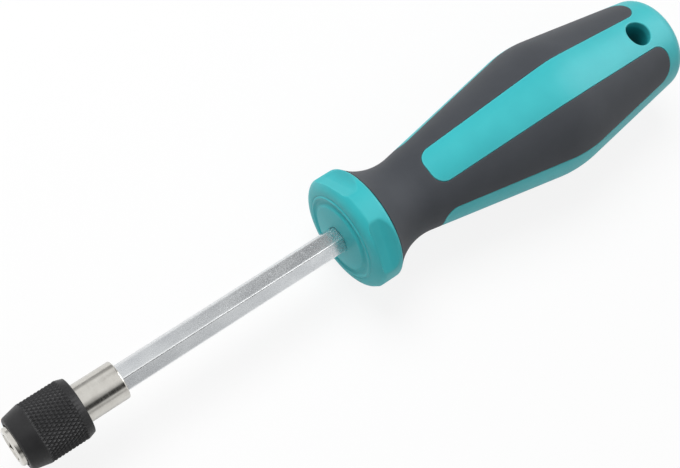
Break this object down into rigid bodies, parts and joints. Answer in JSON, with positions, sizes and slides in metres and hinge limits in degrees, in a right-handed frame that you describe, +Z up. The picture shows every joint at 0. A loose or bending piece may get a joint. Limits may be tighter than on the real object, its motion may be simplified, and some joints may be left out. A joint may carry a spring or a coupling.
{
  "type": "bit holder screwdriver",
  "caption": "Screwdriver with a soft-grip moulded handle, a hexagon shaft and a quick-change magnetic bit socket with a knurled release sleeve.",
  "frame": {"origin": "middle of the bit seat, the magnet's front face inside the socket", "axes": "+X back along the tool to the handle's end, +Z up through the handle strip that has the hanging hole, tip on the -X side"},
  "size_m": [0.1995, 0.0362, 0.0362],
  "materials": {
    "hard_plastic": "satin moulded polypropylene",
    "soft_plastic": "matt soft elastomer",
    "plated_steel": "bright zinc plated, drawn",
    "turned_steel": "turned and nickel plated",
    "black_steel": "black oxide, knurled",
    "spring_steel": "bright spring steel",
    "magnet_plate": "nickel plated"
  },
  "bodies": {
    "tool": {"handle_core": "hard_plastic", "soft_grip": "soft_plastic", "hex_shaft": "plated_steel", "bit_socket": "turned_steel", "magnet": "magnet_plate", "front_ring": "spring_steel", "rear_ring": "spring_steel"},
    "spring_seat": {"seat_washer": "spring_steel", "sleeve_spring": "spring_steel"},
    "sleeve": {"release_sleeve": "black_steel"},
    "ball": {"locking_ball": "spring_steel"}
  },
  "joints": [
    {"name": "sleeve_spin", "type": "hinge", "parent": "tool", "child": "spring_seat", "pos_m": [0, 0, 0], "axis": [1, 0, 0], "continuous": true},
    {"name": "sleeve_pull", "type": "slide", "parent": "spring_seat", "child": "sleeve", "axis": [1, 0, 0], "range_m": [0, 0.002], "stiffness_N_per_m": 1500, "springref_m": -0.002, "deforming": ["sleeve_spring"]},
    {"name": "ball_slide", "type": "slide", "parent": "tool", "child": "ball", "axis": [0, -0.319, 0.9478], "range_m": [0, 0.00075]}
  ],
  "couplings": [
    {"joint": "ball_slide", "follows": "sleeve_pull", "ratio": 0.375}
  ]
}
